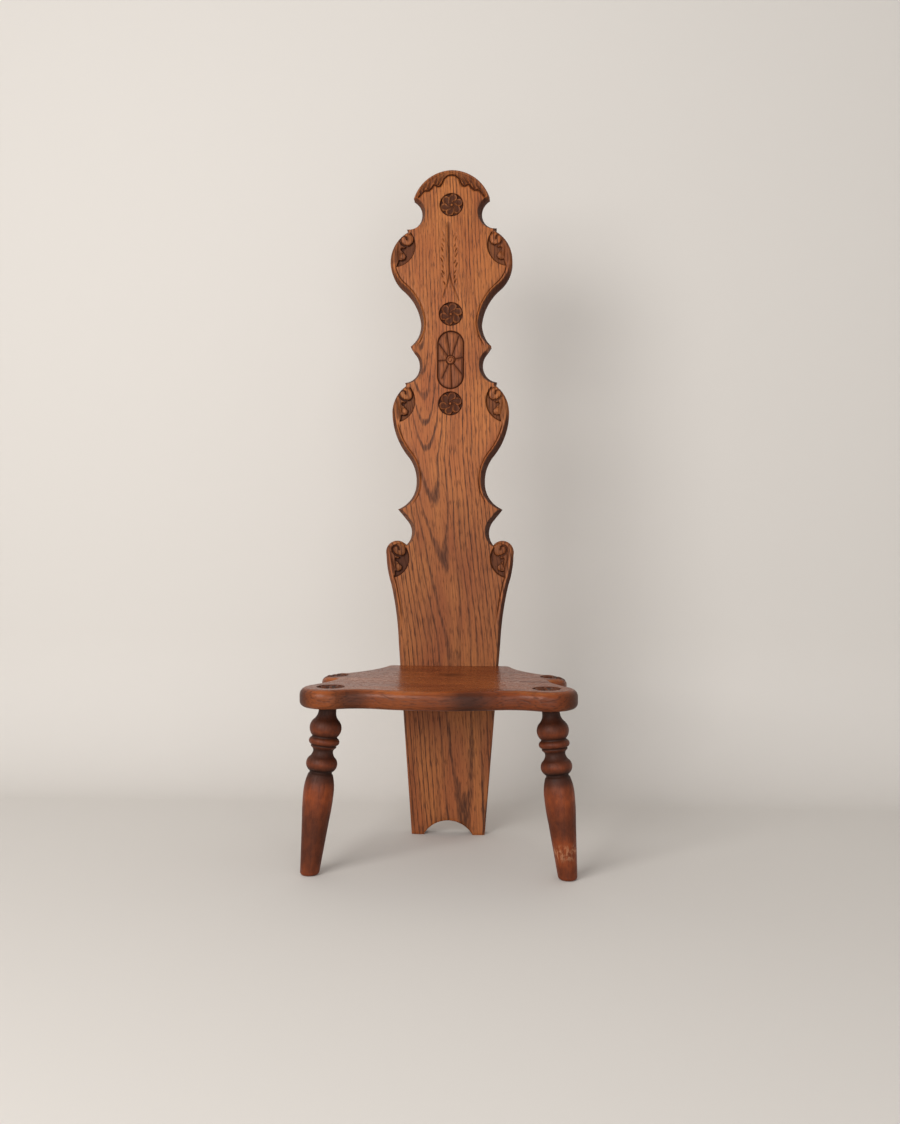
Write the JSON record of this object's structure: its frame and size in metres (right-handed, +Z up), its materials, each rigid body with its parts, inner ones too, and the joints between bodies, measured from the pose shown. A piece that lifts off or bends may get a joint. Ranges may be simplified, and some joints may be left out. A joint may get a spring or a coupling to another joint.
{
  "type": "spinning stool",
  "caption": "Oak spinner's chair: a tall carved plank serves as back and rear leg, a lobed seat board is let into it, and turned front legs stand in sockets under the seat.",
  "frame": {"origin": "on the floor, under the middle of the chair's overall box", "axes": "+Z up; the front of the chair faces -Y; +X is to the right of someone who looks at its front"},
  "size_m": [0.3611, 0.3482, 1],
  "materials": {
    "plank_oak": "stained and waxed oak, dark in the carving",
    "seat_oak": "stained oak, polished by use",
    "leg_oak": "dark stained turned oak, worn at the feet",
    "wedge_oak": "bare riven oak",
    "screw_steel": "old darkened steel"
  },
  "bodies": {
    "root": {"back_plank": "plank_oak", "seat_board": "seat_oak", "left_front_leg": "leg_oak", "right_front_leg": "leg_oak", "left_tenon_wedge": "wedge_oak", "right_tenon_wedge": "wedge_oak", "back_screws": "screw_steel"}
  },
  "joints": []
}
